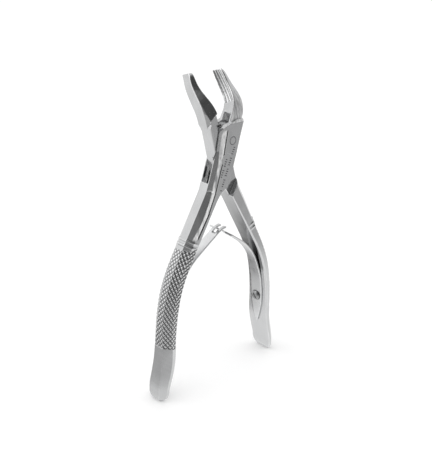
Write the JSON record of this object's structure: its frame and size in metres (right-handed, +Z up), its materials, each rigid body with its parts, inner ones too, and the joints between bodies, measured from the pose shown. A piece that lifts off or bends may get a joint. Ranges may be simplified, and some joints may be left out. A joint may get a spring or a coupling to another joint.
{
  "type": "extraction forceps",
  "caption": "Small box-joint extraction forceps with fluted, set-back beaks, knurled grips and interlocking leaf springs, standing open on the handle ends.",
  "frame": {"origin": "on the floor under the middle of the whole object as it stands open on its two handle ends", "axes": "+Z up from the handle ends to the beak tips, X is the direction in which handles and beaks open, the pivot lies along Y and the beaks lean back towards +Y"},
  "size_m": [0.0696, 0.0196, 0.1351],
  "materials": {
    "half_steel": "satin polished",
    "pin_steel": "satin polished, flush ground",
    "spring_steel": "fine satin",
    "screw_steel": "polished"
  },
  "bodies": {
    "female": {"female_half": "half_steel", "pivot_pin": "pin_steel", "left_spring_foot": "spring_steel", "left_spring_screw": "screw_steel"},
    "male": {"male_half": "half_steel", "right_spring_foot": "spring_steel", "right_spring_screw": "screw_steel"},
    "left_blade": {"left_spring_blade": "spring_steel"},
    "right_blade": {"right_spring_blade": "spring_steel"}
  },
  "joints": [
    {"name": "box_joint", "type": "hinge", "parent": "female", "child": "male", "pos_m": [0, -0.0039, 0.1015], "axis": [0, 1, 0], "range_deg": [-2, 18], "stiffness_Nm_per_rad": 2.2},
    {"name": "left_leaf_bend", "type": "hinge", "parent": "female", "child": "left_blade", "pos_m": [-0.0224, -0.0039, 0.0492], "axis": [0, 1, 0], "range_deg": [-11.2, 1.6]},
    {"name": "right_leaf_bend", "type": "hinge", "parent": "male", "child": "right_blade", "pos_m": [0.0224, -0.0039, 0.0492], "axis": [0, 1, 0], "range_deg": [-1.6, 11.2]}
  ],
  "couplings": [
    {"joint": "left_leaf_bend", "follows": "box_joint", "ratio": -0.605},
    {"joint": "right_leaf_bend", "follows": "box_joint", "ratio": 0.605}
  ]
}
